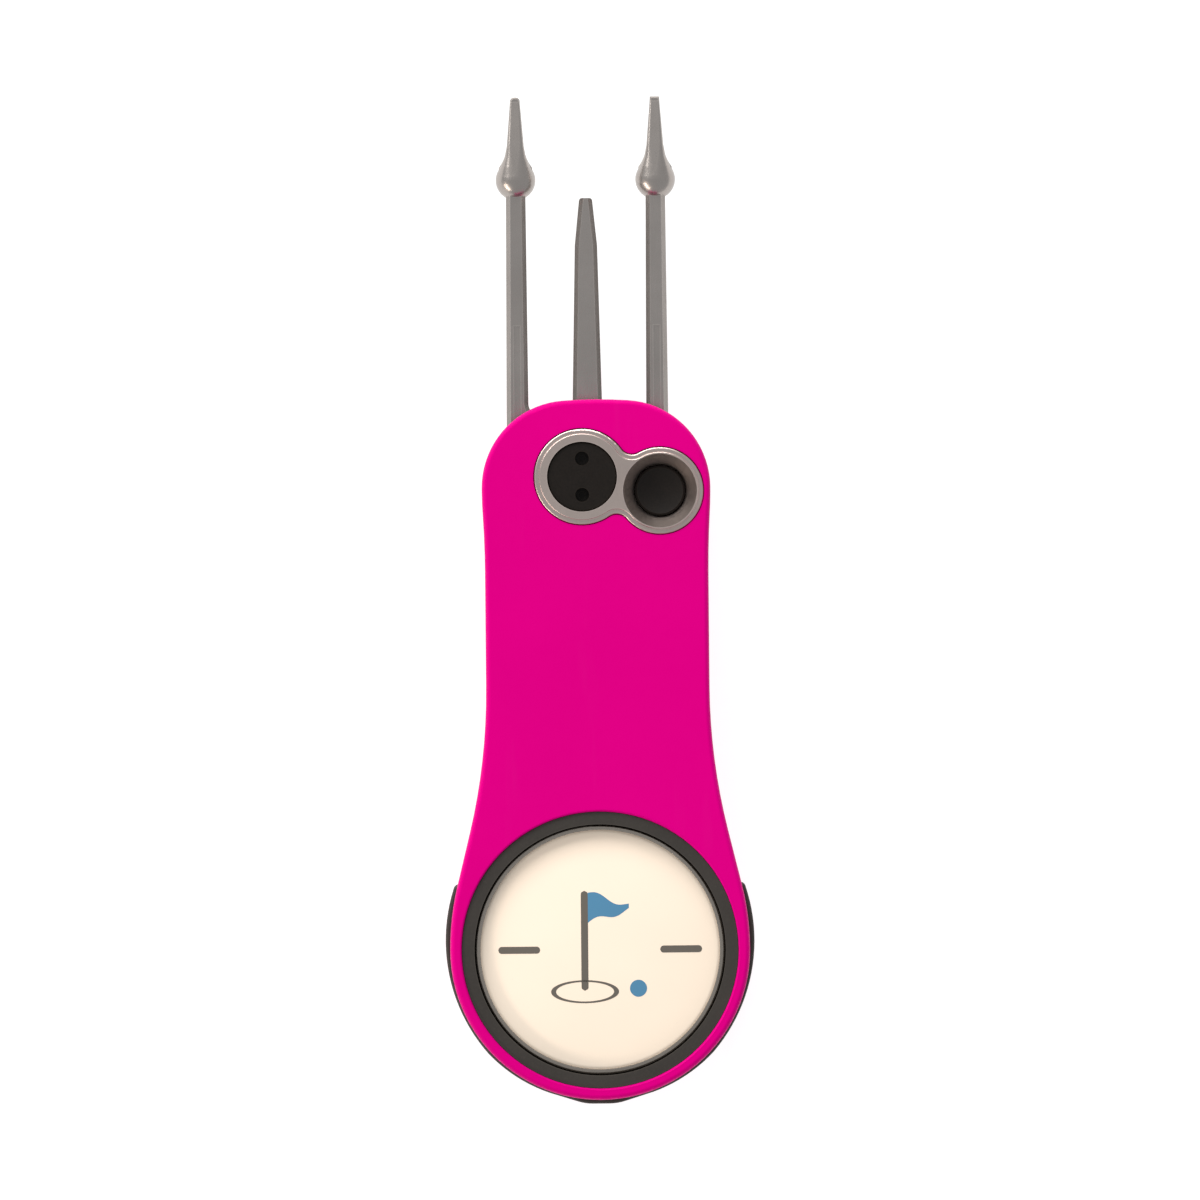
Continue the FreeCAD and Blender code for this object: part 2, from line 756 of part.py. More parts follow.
def case_screws():
    group = doc.addObject("Part::Compound", "case_screws")
    group.Label = "case_screws"
    group.Links = [case_screw(index, x, y) for index, (x, y) in enumerate(CASE_SCREWS, 1)]
    doc.recompute()
    return group


# ---------------------------------------------------------------- pivot stack

def pivot_barrel():
    body = new_body("pivot_barrel")
    steps = (
        ("barrel_flange", "0", "Dims.barrel_flange_radius", "Dims.barrel_flange_height"),
        ("barrel_shoulder", "0", "Dims.shoulder_radius", "Dims.slot_floor - Dims.back_core_z"),
        ("barrel_post", "0", "Dims.barrel_radius", "Dims.barrel_top - Dims.back_core_z"),
    )
    for name, floor, radius, height in steps:
        sketch = sketch_on(body, name, floor)
        circle(sketch, "0", "0", radius)
        pad(body, sketch, height)
    thread = sketch_on(body, "barrel_thread", "Dims.barrel_top - Dims.back_core_z")
    circle(thread, "0", "0", "Dims.pivot_thread_radius + Dims.thread_slip")
    pocket(body, thread, "Dims.pivot_thread_length")
    place(body, "Dims.pivot_x", "Dims.pivot_y", "Dims.back_core_z")
    return body


def pivot_screw():
    """Flush black disc with two spanner dimples, and its threaded shank."""
    body = new_body("pivot_screw")
    head = sketch_on(body, "pivot_disc")
    circle(head, "0", "0", "Dims.pivot_disc_radius")
    pad(body, head, "Dims.pivot_disc_height")
    rim = size("Dims.pivot_disc_height")
    dress(body, "Fillet", "pivot_disc_edge", lambda edge: lies_at(edge, rim), "Dims.disc_edge_round")
    shank = sketch_on(body, "pivot_shank")
    circle(shank, "0", "0", "Dims.pivot_thread_radius")
    pad(body, shank, "Dims.pivot_thread_length", up=False)
    for part, radius, depth in (("dimples", "Dims.dimple_radius", "Dims.dimple_depth"),
                                ("pilots", "Dims.pilot_radius", "Dims.dimple_depth + Dims.pilot_depth")):
        holes = sketch_on(body, f"spanner_{part}", "Dims.pivot_disc_height")
        for side in ("", "-"):
            circle(holes, "0", f"{side}Dims.dimple_reach", radius)
        pocket(body, holes, depth)
    place(body, "Dims.pivot_x", "Dims.pivot_y", "Dims.front_core_z")
    return body


def thrust_washers():
    bore = "Dims.barrel_radius + Dims.slip"
    fork_top = "(Dims.fork_floor + Dims.fork_height + Dims.slip)"
    back = disc("back_thrust_washer", "Dims.pivot_x", "Dims.pivot_y", "Dims.slot_floor",
                "Dims.fork_floor - Dims.slot_floor - Dims.slip", "Dims.washer_radius", bore)
    front = disc("front_thrust_washer", "Dims.pivot_x", "Dims.pivot_y", fork_top,
                 f"Dims.slot_roof - {fork_top}", "Dims.washer_radius", bore)
    return [back, front]


def flip_spring():
    """Torsion spring: a coil, an anchor leg in the back case and a leg that kicks the hub."""
    body = new_body("flip_spring")
    wire = sketch_on(body, "spring_wire", "0", "XZ_Plane")
    circle(wire, "Dims.coil_radius", "0", "Dims.wire_radius")
    coil = body.newObject("PartDesign::AdditiveHelix", "spring_coil")
    coil.Profile = wire
    coil.ReferenceAxis = (wire, ["V_Axis"])
    coil.Mode = "pitch-turns-angle"
    coil.setExpression("Pitch", "Dims.coil_pitch")
    coil.setExpression("Turns", "Dims.coil_turns")
    doc.recompute()
    anchor = sketch_on(body, "anchor_leg", "Dims.coil_radius", "YZ_Plane")
    circle(anchor, "0", "0", "Dims.wire_radius")
    pad(body, anchor, "Dims.anchor_reach - Dims.coil_radius")
    rise = "Dims.coil_pitch * Dims.coil_turns"
    kicker = sketch_on(body, "kicker_leg", "-Dims.coil_radius", "YZ_Plane")
    circle(kicker, "0", rise, "Dims.wire_radius")
    pad(body, kicker, "Dims.kicker_reach - Dims.coil_radius + Dims.wire_radius", up=False)
    finger = sketch_on(body, "kicker_finger", rise)
    circle(finger, "-Dims.kicker_reach", "0", "Dims.wire_radius")
    pad(body, finger, f"Dims.kicker_top - Dims.coil_floor - {rise}")
    place(body, "Dims.pivot_x", "Dims.pivot_y", "Dims.coil_floor")
    body.Placement.Rotation = FreeCAD.Rotation(FreeCAD.Vector(0, 0, 1), 90)
    return body


def bezel_plate():
    """Stepped figure-of-eight plate: a hole for the pivot disc and a collar round the button."""
    body = new_body("bezel_plate")
    plate_layer(body, "shoulder", "0", "Dims.front_core_z", "Dims.plate_shoulder")
    plate_layer(body, "crown", "Dims.plate_shoulder_width", "Dims.plate_shoulder", "Dims.plate_top")
    collar = sketch_on(body, "plate_collar", "Dims.collar_floor")
    circle(collar, "Dims.button_x", "Dims.button_y", "Dims.collar_radius")
    pad(body, collar, "Dims.plate_shoulder - Dims.collar_floor")
    hole = sketch_on(body, "plate_pivot_hole", "Dims.plate_top")
    circle(hole, "Dims.pivot_x", "Dims.pivot_y", "Dims.pivot_disc_radius + Dims.slip")
    pocket(body, hole, "Dims.plate_top - Dims.front_core_z")
    cone = sketch_on(body, "button_cone", "-Dims.button_y", "XZ_Plane", "Dims.button_x")
    bore = "Dims.button_radius + Dims.slip"
    polygon(cone, [("0", "Dims.collar_floor"), (bore, "Dims.collar_floor"), (bore, "Dims.cone_floor"),
                   ("Dims.cone_radius", "Dims.plate_top"), ("0", "Dims.plate_top")])
    groove(body, cone)
    return body


def plate_layer(body, name, inset, floor, top):
    """One step of the plate: two joined discs with rounded valleys and a rounded top edge."""
    for spot in ("pivot", "button"):
        sketch = sketch_on(body, f"plate_{spot}_{name}", floor)
        circle(sketch, f"Dims.{spot}_x", f"Dims.{spot}_y", f"Dims.plate_{spot}_radius - {inset}")
        pad(body, sketch, f"{top} - {floor}")
    base = size(floor)
    height = size(top)
    dress(body, "Fillet", f"plate_{name}_necks", lambda edge: neck_edges(edge, base),
          f"Dims.plate_neck_round + {inset}")
    dress(body, "Fillet", f"plate_{name}_edge", lambda edge: lies_at(edge, height),
          f"Dims.plate_{name}_round")


# ---------------------------------------------------------------- fork

def prong_sides(axis, root, neck, top):
    """Right then left edge of one tapered prong shaft, from the yoke to its end and back."""
    return [
        (f"{axis} + {root}", "Dims.yoke_top"),
        (f"{axis} + {neck}", top),
        (f"{axis} - {neck}", top),
        (f"{axis} - {root}", "Dims.yoke_top"),
    ]


def fork_corners():
    right = "Dims.fork_axis + Dims.prong_spread"
    left = "Dims.fork_axis - Dims.prong_spread"
    middle = [
        ("Dims.fork_axis + Dims.middle_root_half", "Dims.yoke_top"),
        ("Dims.fork_axis + Dims.middle_kink_half", "Dims.middle_kink_y"),
        ("Dims.fork_axis + Dims.middle_tip_half", "Dims.middle_reach"),
        ("Dims.fork_axis - Dims.middle_tip_half", "Dims.middle_reach"),
        ("Dims.fork_axis - Dims.middle_kink_half", "Dims.middle_kink_y"),
        ("Dims.fork_axis - Dims.middle_root_half", "Dims.yoke_top"),
    ]
    corners = [("0", "0"), ("Dims.yoke_root_x", "Dims.yoke_right_low"),
               (f"{right} + Dims.prong_root_half", "Dims.yoke_right_low")]
    corners += prong_sides(right, "Dims.prong_root_half", "Dims.prong_neck_half", "Dims.bead_y")
    corners += middle
    corners += prong_sides(left, "Dims.prong_root_half", "Dims.prong_neck_half", "Dims.bead_y")
    corners += [(f"{left} - Dims.prong_root_half", "Dims.yoke_left_low"),
                ("-Dims.yoke_root_x", "Dims.yoke_left_low")]
    return corners


def fork_plate(body):
    plate = sketch_on(body, "fork_outline")
    polygon(plate, fork_corners())
    pad(body, plate, "Dims.fork_height")
    hub = sketch_on(body, "fork_hub")
    circle(hub, "0", "0", "Dims.hub_radius")
    pad(body, hub, "Dims.fork_height")


def inner_yoke_edge(edge):
    """Upright edges where a shaft rises from the yoke between two prongs."""
    reach = size("Dims.prong_spread")
    axis = size("Dims.fork_axis")
    box = edge.BoundBox
    level = abs(box.Center.y - size("Dims.yoke_top")) < TOUCH
    between = abs(box.Center.x - axis) < reach
    return level and between and box.ZLength > TALL_EDGE and box.XLength < TOUCH


def tip_edge(edge, axis, reach):
    """Upright corners at the end of the prong on an axis."""
    return stands_at(edge, axis, reach, NEAR_TIP)


def shaft_edge(edge):
    """Long edges of the shafts on both faces of the fork."""
    box = edge.BoundBox
    flat = lies_at(edge, 0) or lies_at(edge, size("Dims.fork_height"))
    return flat and box.YMin > size("Dims.yoke_top") - TOUCH and box.YLength > LONG_EDGE


def bead(body, name, axis):
    """Round bead at the end of an outer shaft, turned about the prong's axis."""
    sketch = sketch_on(body, name, "Dims.fork_height / 2", "XY_Plane", axis)
    trace(sketch, [
        ("0", "Dims.bead_y - Dims.bead_radius", None, 0),
        ("Dims.bead_radius", "Dims.bead_y", "Dims.bead_radius", 1),
        ("0", "Dims.bead_y + Dims.bead_radius", "Dims.bead_radius", 1),
    ])
    revolve(body, sketch)


def blade(body, name, axis):
    """Flat hollow-sided blade that grows out of the bead."""
    floor = "(Dims.fork_height - Dims.blade_height) / 2"
    sketch = sketch_on(body, name, floor, "XY_Plane", axis)
    right = [
        ("Dims.blade_root_half", "Dims.bead_y", None, 0),
        ("Dims.blade_root_half", "Dims.blade_root_y", None, 0),
        ("Dims.blade_waist_half", "Dims.blade_waist_y", "Dims.blade_hollow_radius", -1),
        ("Dims.blade_tip_half", "Dims.fork_reach", None, 0),
    ]
    trace(sketch, mirrored_loop(right))
    pad(body, sketch, "Dims.blade_height")


def blade_edge(edge):
    """Edges of both blades' faces, past the beads."""
    thickness = size("Dims.blade_height")
    floor = (size("Dims.fork_height") - thickness) / 2
    flat = lies_at(edge, floor) or lies_at(edge, floor + thickness)
    return flat and edge.BoundBox.YMin > size("Dims.blade_root_y") - TOUCH


def wedge_section(body, name, axis, part):
    """Rounded rectangle across a blade. Its height falls evenly from the bead to the tip."""
    middle = "Dims.fork_height / 2"
    half = f"Dims.wedge_{part}_half"
    corner = f"Dims.wedge_{part}_corner"
    share = f"(Dims.wedge_{part} - Dims.wedge_start) / (Dims.wedge_end - Dims.wedge_start)"
    rise = f"(Dims.wedge_start_rise + (Dims.wedge_end_rise - Dims.wedge_start_rise) * {share})"
    sketch = sketch_on(body, f"{name}_{part}", f"-(Dims.bead_y + Dims.wedge_{part})", "XZ_Plane", axis)
    trace(sketch, mirrored_loop([
        (f"{half} - {corner}", f"{middle} - {rise}", None, 0),
        (half, f"{middle} - {rise} + {corner}", corner, 1),
        (half, f"{middle} + {rise} - {corner}", None, 0),
        (f"{half} - {corner}", f"{middle} + {rise}", corner, 1),
    ]))
    return sketch


def blade_wedge(body, name, axis):
    """Thick spine of a blade: round where it leaves the bead, flatter and thinner to the tip."""
    parts = ("start", "shoulder", "hollow", "waist", "end")
    sections = [wedge_section(body, name, axis, part) for part in parts]
    loft = body.newObject("PartDesign::AdditiveLoft", name)
    loft.Profile = sections[0]
    loft.Sections = sections[1:]
    loft.Ruled = True
    doc.recompute()


def prong_flute(body, name, axis):
    """Shallow flute along the lower part of an outer shaft's face."""
    sketch = sketch_on(body, name, "Dims.fork_height")
    rectangle(sketch, f"{axis} - Dims.flute_half", "Dims.flute_bottom",
              f"{axis} + Dims.flute_half", "Dims.flute_top")
    pocket(body, sketch, "Dims.flute_depth")


def hub_notch(body, name, turn):
    """Notch in the hub's rim that faces a given direction."""
    sketch = sketch_on(body, name, "Dims.fork_height")
    along = f"cos(({turn}) * 1deg)"
    across = f"sin(({turn}) * 1deg)"
    rim = "(Dims.hub_radius + Dims.notch_overrun)"
    corners = []
    for reach, side in (("Dims.notch_root", -1), (rim, -1), (rim, 1), ("Dims.notch_root", 1)):
        x = f"{reach} * {along} - {side} * Dims.notch_half * {across}"
        y = f"{reach} * {across} + {side} * Dims.notch_half * {along}"
        corners.append((x, y))
    polygon(sketch, corners)
    pocket(body, sketch, "Dims.fork_height")


def fork():
    body = new_body("fork")
    fork_plate(body)
    dress(body, "Fillet", "yoke_rounds", inner_yoke_edge, "Dims.yoke_round")
    dress(body, "Chamfer", "shaft_bevels", shaft_edge, "Dims.prong_bevel")
    middle = size("Dims.fork_axis")
    dress(body, "Fillet", "middle_tip", lambda edge: tip_edge(edge, middle, size("Dims.middle_reach")),
          "Dims.middle_tip_round")
    axes = {side: f"Dims.fork_axis {sign} Dims.prong_spread" for side, sign in PRONG_SIDES}
    for side, axis in axes.items():
        blade(body, f"{side}_blade", axis)
    left = size(axes["left"])
    dress(body, "Fillet", "left_tip", lambda edge: tip_edge(edge, left, size("Dims.fork_reach")),
          "Dims.left_tip_round")
    dress(body, "Chamfer", "blade_bevels", blade_edge, "Dims.blade_bevel")
    for side, axis in axes.items():
        blade_wedge(body, f"{side}_wedge", axis)
        bead(body, f"{side}_bead", axis)
        prong_flute(body, f"{side}_flute", axis)
    hub_notch(body, "open_notch", "-Dims.notch_turn")
    hub_notch(body, "closed_notch", "180 - Dims.notch_turn")
    holes = sketch_on(body, "hub_bore", "Dims.fork_height")
    circle(holes, "0", "0", "Dims.barrel_radius + Dims.slip")
    circle(holes, "0", "-Dims.kicker_reach", "Dims.kicker_hole_radius")
    pocket(body, holes, "Dims.fork_height")
    place(body, "Dims.pivot_x", "Dims.pivot_y", "Dims.fork_floor")
    return body


# ---------------------------------------------------------------- lock and button

def lock_leaf():
    """Spring steel leaf: screwed down at one end, with an upturned sear tab at the other."""
    body = new_body("lock_leaf")
    leaf = sketch_on(body, "leaf_blank", "Dims.leaf_floor")
    polygon(leaf, [
        ("Dims.leaf_left", "Dims.leaf_bottom"), ("Dims.leaf_right", "Dims.leaf_bottom"),
        ("Dims.leaf_right", "Dims.leaf_top"), ("Dims.leaf_left", "Dims.leaf_top"),
        ("Dims.sear_left", "Dims.sear_top"), ("Dims.sear_left", "Dims.sear_bottom"),
        ("Dims.leaf_left", "Dims.sear_bottom - Dims.sear_gusset"),
    ])
    circle(leaf, "Dims.leaf_screw_x", "Dims.leaf_screw_y", "Dims.leaf_screw_radius + Dims.thread_slip")
    pad(body, leaf, "Dims.leaf_height")
    sear = sketch_on(body, "sear_tab", "Dims.leaf_floor")
    rectangle(sear, "Dims.sear_left", "Dims.sear_bottom", "Dims.sear_right", "Dims.sear_top")
    pad(body, sear, "Dims.leaf_height + Dims.sear_height")
    return body


def leaf_screw():
    body = new_body("leaf_screw")
    head = sketch_on(body, "leaf_screw_cap")
    circle(head, "0", "0", "Dims.leaf_screw_head")
    pad(body, head, "Dims.leaf_screw_head_height")
    shank = sketch_on(body, "leaf_screw_shank")
    circle(shank, "0", "0", "Dims.leaf_screw_radius")
    pad(body, shank, "Dims.leaf_screw_length", up=False)
    slot = sketch_on(body, "leaf_screw_slot", "Dims.leaf_screw_head_height")
    rectangle(slot, "-Dims.leaf_screw_head - Dims.slip", "-Dims.leaf_screw_slot_half",
              "Dims.leaf_screw_head + Dims.slip", "Dims.leaf_screw_slot_half")
    pocket(body, slot, "Dims.leaf_screw_head_height / 2")
    place(body, "Dims.leaf_screw_x", "Dims.leaf_screw_y", "Dims.leaf_floor + Dims.leaf_height")
    return body


def release_button():
    """Push button: shallow dished cap, retaining flange and the stem that bends the leaf."""
    body = new_body("release_button")
    profile = sketch_on(body, "button_profile", "0", "XZ_Plane")
    floor = "Dims.button_stem_floor"
    trace(profile, [
        ("0", "0", None, 0),
        ("Dims.button_stem_radius", "0", None, 0),
        ("Dims.button_stem_radius", f"Dims.button_flange_floor - {floor}", None, 0),
        ("Dims.button_flange_radius", f"Dims.button_flange_floor - {floor}", None, 0),
        ("Dims.button_flange_radius", f"Dims.button_flange_top - {floor}", None, 0),
        ("Dims.button_radius", f"Dims.button_flange_top - {floor}", None, 0),
        ("Dims.button_radius", f"Dims.button_top - {floor} - Dims.button_edge", None, 0),
        ("Dims.button_radius - Dims.button_edge", f"Dims.button_top - {floor}", None, 0),
        ("0", f"Dims.button_top - {floor} - Dims.button_dish_depth", "Dims.button_dish_radius", -1),
    ])
    revolve(body, profile)
    place(body, "Dims.button_x", "Dims.button_y", floor)
    return body


# ---------------------------------------------------------------- ball marker

def marker_magnet():
    return disc("marker_magnet", "0", LOBE_Y, "Dims.slot_roof", "Dims.seat_floor - Dims.slot_roof",
                "Dims.magnet_radius")


def marker_base():
    """Steel disc with a raised rim round the enamel."""
    body = new_body("marker_base")
    sketch = sketch_on(body, "marker_disc")
    circle(sketch, "0", "0", "Dims.marker_radius")
    pad(body, sketch, "Dims.marker_top - Dims.marker_floor")
    top = size("Dims.marker_top - Dims.marker_floor")
    dress(body, "Fillet", "marker_edge", lambda edge: lies_at(edge, top), "Dims.marker_edge_round")
    dish = sketch_on(body, "enamel_dish", "Dims.marker_top - Dims.marker_floor")
    circle(dish, "0", "0", "Dims.marker_radius - Dims.marker_rim")
    pocket(body, dish, "Dims.marker_top - Dims.marker_step")
    place(body, "0", MARKER_Y, "Dims.marker_floor")
    return body


def marker_insert():
    return disc("marker_insert", "0", MARKER_Y, "Dims.marker_step", "Dims.insert_top - Dims.marker_step",
                "Dims.marker_radius - Dims.marker_rim")


# ---------------------------------------------------------------- whole tool

def build_all():
    nodes = [back_skin(), back_case(), end_block(), spine_bar(), front_case(), front_skin()]
    nodes += [bezel_plate(), pivot_barrel(), pivot_screw(), flip_spring()]
    nodes += thrust_washers()
    nodes += [fork(), lock_leaf(), leaf_screw(), release_button(), open_stop_pin(), closed_stop_pad()]
    nodes += [case_screws(), marker_magnet(), marker_base(), marker_insert()]
    return nodes


def check_document(nodes):
    for item in doc.Objects:
        if {"Invalid", "Error"} & set(item.State):
            raise RuntimeError(f"{item.Name} failed: {item.State}")
    for node in nodes:
        if node.Shape.isNull() or not node.Shape.isValid():
            raise RuntimeError(node.Label + " has no valid shape")


def write_steps(nodes):
    os.makedirs("parts", exist_ok=True)
    for node in nodes:
        node.Shape.exportStep(f"parts/{node.Label}.step")


fill_sheet()
NODES = build_all()
doc.recompute()
check_document(NODES)
write_steps(NODES)
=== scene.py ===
import math

import bmesh
import bpy
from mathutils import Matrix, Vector


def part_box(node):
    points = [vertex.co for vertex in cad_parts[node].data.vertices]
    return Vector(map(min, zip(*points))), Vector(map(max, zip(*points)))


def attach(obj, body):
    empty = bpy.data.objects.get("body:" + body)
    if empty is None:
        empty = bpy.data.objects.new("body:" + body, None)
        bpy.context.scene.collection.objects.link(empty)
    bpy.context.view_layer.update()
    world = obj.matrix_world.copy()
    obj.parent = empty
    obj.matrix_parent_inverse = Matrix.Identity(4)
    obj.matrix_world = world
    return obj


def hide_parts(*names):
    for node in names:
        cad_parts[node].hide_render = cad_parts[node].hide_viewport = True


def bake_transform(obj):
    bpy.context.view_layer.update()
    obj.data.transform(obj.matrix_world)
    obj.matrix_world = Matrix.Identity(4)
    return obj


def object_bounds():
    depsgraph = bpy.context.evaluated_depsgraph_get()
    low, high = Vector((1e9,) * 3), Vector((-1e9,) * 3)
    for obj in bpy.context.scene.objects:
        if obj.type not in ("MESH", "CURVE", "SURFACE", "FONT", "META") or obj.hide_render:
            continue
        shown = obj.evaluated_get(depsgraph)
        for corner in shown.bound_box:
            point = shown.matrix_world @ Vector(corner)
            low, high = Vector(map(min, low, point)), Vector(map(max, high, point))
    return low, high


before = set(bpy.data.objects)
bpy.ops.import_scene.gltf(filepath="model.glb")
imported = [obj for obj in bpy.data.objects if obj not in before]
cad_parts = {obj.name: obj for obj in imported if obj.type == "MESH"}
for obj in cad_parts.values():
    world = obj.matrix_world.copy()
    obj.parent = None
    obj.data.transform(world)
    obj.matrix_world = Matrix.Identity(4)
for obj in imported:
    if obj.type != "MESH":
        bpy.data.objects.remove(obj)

MM = 0.001
CAD_LOW, CAD_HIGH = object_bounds()
INSERT_LOW, INSERT_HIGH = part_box("marker_insert")


# ---------------------------------------------------------------- material helpers

def srgb(red, green, blue):
    """Linear colour from 8-bit screen values."""
    def linear(value):
        value = value / 255
        return value / 12.92 if value <= 0.04045 else ((value + 0.055) / 1.055) ** 2.4
    return linear(red), linear(green), linear(blue), 1.0


def scaled(colour, factor):
    """Colour made darker or lighter, with no channel over one."""
    return tuple(min(channel * factor, 1.0) for channel in colour[:3]) + (1.0,)


def new_material(name, roughness=0.5, metallic=0.0, specular=0.5):
    """Material with its node tree and its shader."""
    material = bpy.data.materials.new(name)
    material.use_nodes = True
    shader = material.node_tree.nodes["Principled BSDF"]
    shader.inputs["Roughness"].default_value = roughness
    shader.inputs["Metallic"].default_value = metallic
    shader.inputs["Specular IOR Level"].default_value = specular
    return material, material.node_tree, shader


def noise(tree, scale, detail=3.0, stretch=(1, 1, 1), lean=0.0):
    """Noise in the object's own metres.

    Stretch multiplies the frequency along each axis, and lean turns the pattern about Z."""
    place = tree.nodes.new("ShaderNodeTexCoord")
    mapping = tree.nodes.new("ShaderNodeMapping")
    mapping.inputs["Scale"].default_value = stretch
    mapping.inputs["Rotation"].default_value = (0, 0, lean)
    texture = tree.nodes.new("ShaderNodeTexNoise")
    texture.inputs["Scale"].default_value = scale
    texture.inputs["Detail"].default_value = detail
    tree.links.new(place.outputs["Object"], mapping.inputs["Vector"])
    tree.links.new(mapping.outputs["Vector"], texture.inputs["Vector"])
    return texture.outputs["Fac"]


def spread(tree, source, low, high, start=0.3, end=0.7):
    """Maps a noise's usual range onto low to high."""
    node = tree.nodes.new("ShaderNodeMapRange")
    node.inputs["From Min"].default_value = start
    node.inputs["From Max"].default_value = end
    node.inputs["To Min"].default_value = low
    node.inputs["To Max"].default_value = high
    tree.links.new(source, node.inputs["Value"])
    return node.outputs["Result"]


def mix(tree, factor, first, second):
    """Blend of two colours; each is a colour or an output socket."""
    node = tree.nodes.new("ShaderNodeMix")
    node.data_type = "RGBA"
    tree.links.new(factor, node.inputs["Factor"])
    for value, socket in ((first, node.inputs[6]), (second, node.inputs[7])):
        if isinstance(value, tuple):
            socket.default_value = value
        else:
            tree.links.new(value, socket)
    return node.outputs[2]


def math_node(tree, operation, first, second):
    """One arithmetic step on two values; each is a number or an output socket."""
    node = tree.nodes.new("ShaderNodeMath")
    node.operation = operation
    for value, socket in ((first, node.inputs[0]), (second, node.inputs[1])):
        if isinstance(value, (int, float)):
            socket.default_value = value
        else:
            tree.links.new(value, socket)
    return node.outputs[0]


def edge_mask(tree, radius):
    """One along edges that are tighter than the radius, zero on the faces."""
    sharpness = 0.03
    bevel = tree.nodes.new("ShaderNodeBevel")
    bevel.samples = 6
    bevel.inputs["Radius"].default_value = radius
    face = tree.nodes.new("ShaderNodeNewGeometry")
    dot = tree.nodes.new("ShaderNodeVectorMath")
    dot.operation = "DOT_PRODUCT"
    tree.links.new(bevel.outputs["Normal"], dot.inputs[0])
    tree.links.new(face.outputs["Normal"], dot.inputs[1])
    return spread(tree, dot.outputs["Value"], 1.0, 0.0, 1 - sharpness, 1.0)


def bump(tree, shader, layers):
    """Stacked bumps. A layer is a height source and its depth in metres."""
    normal = None
    for source, depth in layers:
        node = tree.nodes.new("ShaderNodeBump")
        node.inputs["Strength"].default_value = 1.0
        node.inputs["Distance"].default_value = depth
        tree.links.new(source, node.inputs["Height"])
        if normal:
            tree.links.new(normal, node.inputs["Normal"])
        normal = node.outputs["Normal"]
    tree.links.new(normal, shader.inputs["Normal"])


def set_colour(tree, shader, socket):
    """Drives the shader's colour."""
    tree.links.new(socket, shader.inputs["Base Color"])


def set_roughness(tree, shader, socket):
    """Drives the shader's roughness."""
    tree.links.new(socket, shader.inputs["Roughness"])


# ---------------------------------------------------------------- materials

def skin_material():
    """Magenta soft-touch coat: fine peel, faint handling marks, and edges darkened to a deeper magenta as
    painted shade.
    """
    base = srgb(208, 0, 124)
    material, tree, shader = new_material("skin_magenta", 0.5, 0.0, 0.28)
    shader.inputs["Specular Tint"].default_value = srgb(255, 0, 120)
    cloudy = spread(tree, noise(tree, 60, 2), 0, 1)
    colour = mix(tree, cloudy, scaled(base, 0.97), scaled(base, 1.02))
    peel = noise(tree, 5200, 2)
    scuffs = spread(tree, noise(tree, 420, 5, (1.0, 0.12, 1.0), 0.5), 0, 1, 0.60, 0.72)
    colour = mix(tree, math_node(tree, "MULTIPLY", scuffs, 0.06), colour, srgb(214, 45, 141))
    # painted shade: every edge of the coat is darkened towards a deeper magenta
    edges = edge_mask(tree, 0.35 * MM)
    colour = mix(tree, math_node(tree, "MULTIPLY", edges, 0.4), colour, srgb(188, 0, 112))
    set_colour(tree, shader, colour)
    rough = spread(tree, noise(tree, 900, 4), 0.44, 0.56)
    shine = math_node(tree, "MULTIPLY", scuffs, 0.08)
    set_roughness(tree, shader, math_node(tree, "SUBTRACT", rough, shine))
    bump(tree, shader, [(peel, 0.006 * MM), (scuffs, 0.002 * MM)])
    return material


def moulded_material(name, base, grain_scale, grain_depth, low, high):
    """Textured nylon: spark-eroded grain, faint colour drift and paler rubbed edges."""
    material, tree, shader = new_material(name, 0.6, 0.0, 0.35)
    drift = spread(tree, noise(tree, 140, 3), 0, 1)
    colour = mix(tree, drift, scaled(base, 0.88), scaled(base, 1.1))
    grain = noise(tree, grain_scale, 3)
    colour = mix(tree, spread(tree, grain, 0, 0.5, 0.5, 0.75), colour, scaled(base, 1.35))
    edges = edge_mask(tree, 0.15 * MM)
    colour = mix(tree, math_node(tree, "MULTIPLY", edges, 0.5), colour, scaled(base, 2.2))
    set_colour(tree, shader, colour)
    set_roughness(tree, shader, spread(tree, noise(tree, 1500, 4), low, high))
    bump(tree, shader, [(grain, grain_depth)])
    return material


def satin_metal(name, base, low, high, stretch, lean=0.0, pit_depth=0.0012 * MM):
    """Satin metal: fine pits, a grain that stretch can draw out, and brighter worn edges."""
    material, tree, shader = new_material(name, 0.35, 1.0)
    clouds = spread(tree, noise(tree, 220, 4), 0, 1)
    colour = mix(tree, clouds, scaled(base, 0.93), scaled(base, 1.06))
    lines = noise(tree, 2600, 4, stretch, lean)
    colour = mix(tree, spread(tree, lines, 0, 0.35, 0.45, 0.7), colour, scaled(base, 0.8))
    edges = edge_mask(tree, 0.12 * MM)
    colour = mix(tree, math_node(tree, "MULTIPLY", edges, 0.6), colour, scaled(base, 1.5))
    set_colour(tree, shader, colour)
    set_roughness(tree, shader, spread(tree, lines, low, high))
    pits = noise(tree, 7000, 2)
    bump(tree, shader, [(lines, 0.0025 * MM), (pits, pit_depth)])
    return material


def black_material(name, tint, rough_low, rough_high, turned=False):
    """Black finish with a fine tooth and paler edges; a turned part also has ring marks."""
    material, tree, shader = new_material(name, 0.5, 0.0, 0.18)
    tooth = noise(tree, 4800, 3)
    colour = mix(tree, spread(tree, tooth, 0, 1), scaled(tint, 0.8), scaled(tint, 1.25))
    edges = edge_mask(tree, 0.12 * MM)
    colour = mix(tree, math_node(tree, "MULTIPLY", edges, 0.5), colour, scaled(tint, 3.0))
    set_colour(tree, shader, colour)
    set_roughness(tree, shader, spread(tree, noise(tree, 800, 4), rough_low, rough_high))
    layers = [(tooth, 0.004 * MM)]
    if turned:
        layers.append((turning_marks(tree), 0.002 * MM))
    bump(tree, shader, layers)
    return material


